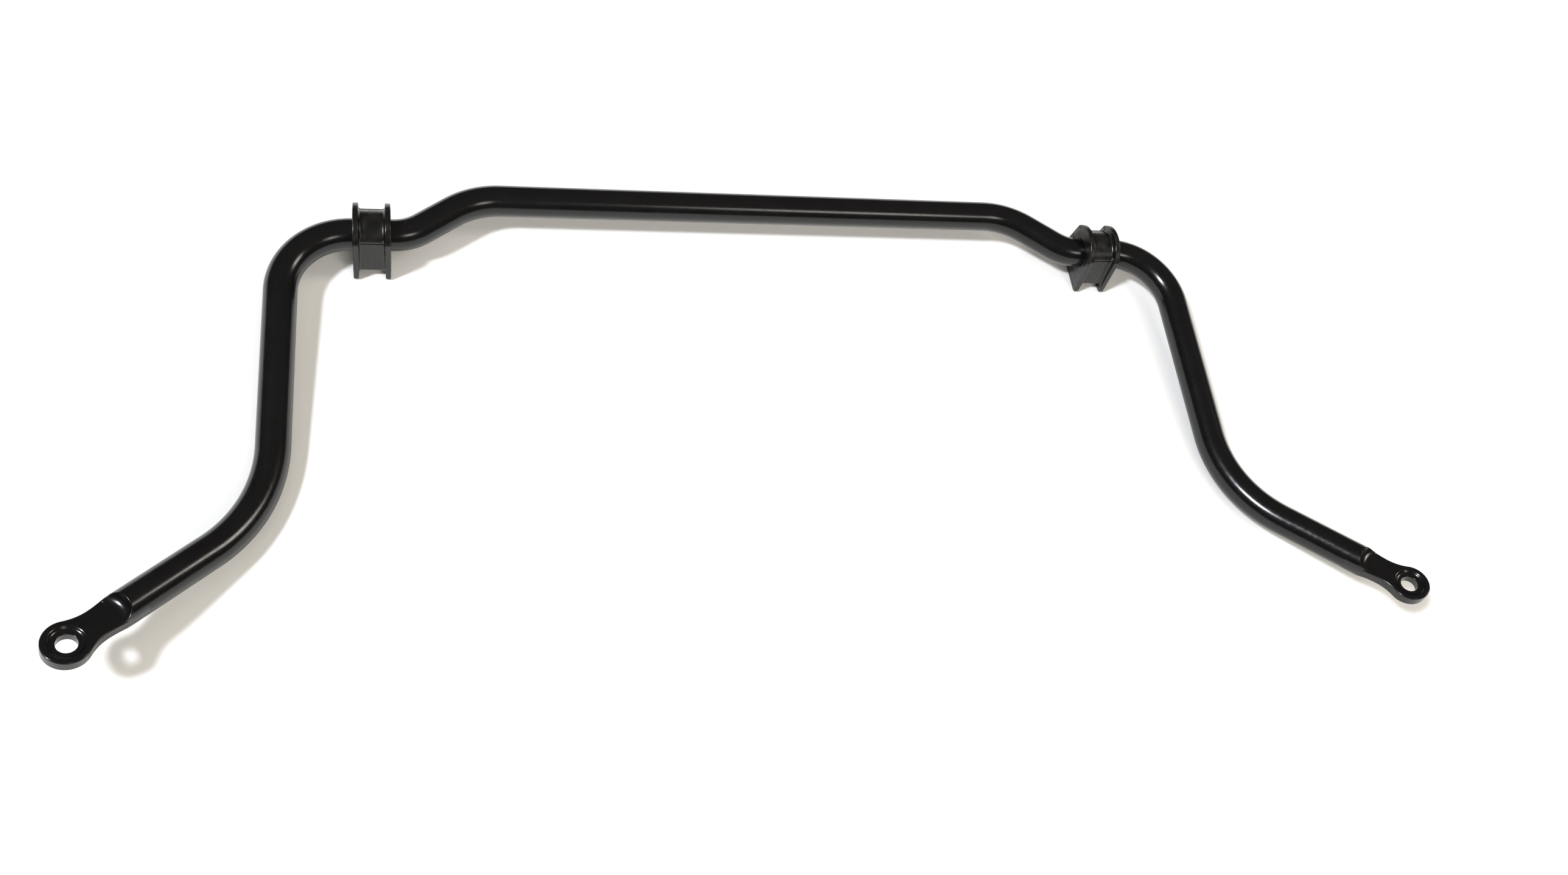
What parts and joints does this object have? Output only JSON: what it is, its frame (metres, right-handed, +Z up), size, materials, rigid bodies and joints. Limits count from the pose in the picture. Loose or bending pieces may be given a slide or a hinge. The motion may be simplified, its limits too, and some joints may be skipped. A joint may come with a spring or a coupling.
{
  "type": "sway bar",
  "caption": "Bent round steel anti-roll bar with flattened link eyes at both ends, two flanged rubber D-bushes.",
  "frame": {"origin": "centre of the footprint, on the ground plane that the bush feet and the undersides of both arms rest on", "axes": "+X across the car along the bush axis, +Y from the link eyes towards the middle of the bar, +Z up"},
  "size_m": [1.1078, 0.434, 0.0588],
  "materials": {
    "black_coated_steel": "smooth semi-gloss black coating",
    "bush_rubber": "matt moulded black rubber"
  },
  "bodies": {
    "bar": {"bar": "black_coated_steel"},
    "left_bush": {"left_bush": "bush_rubber"},
    "right_bush": {"right_bush": "bush_rubber"}
  },
  "joints": [
    {"name": "left_bush_turn", "type": "hinge", "parent": "bar", "child": "left_bush", "pos_m": [-0.3354, 0.165, 0.028], "axis": [1, 0, 0], "range_deg": [-30, 30]},
    {"name": "right_bush_turn", "type": "hinge", "parent": "bar", "child": "right_bush", "pos_m": [0.3354, 0.165, 0.028], "axis": [1, 0, 0], "range_deg": [-30, 30]}
  ]
}
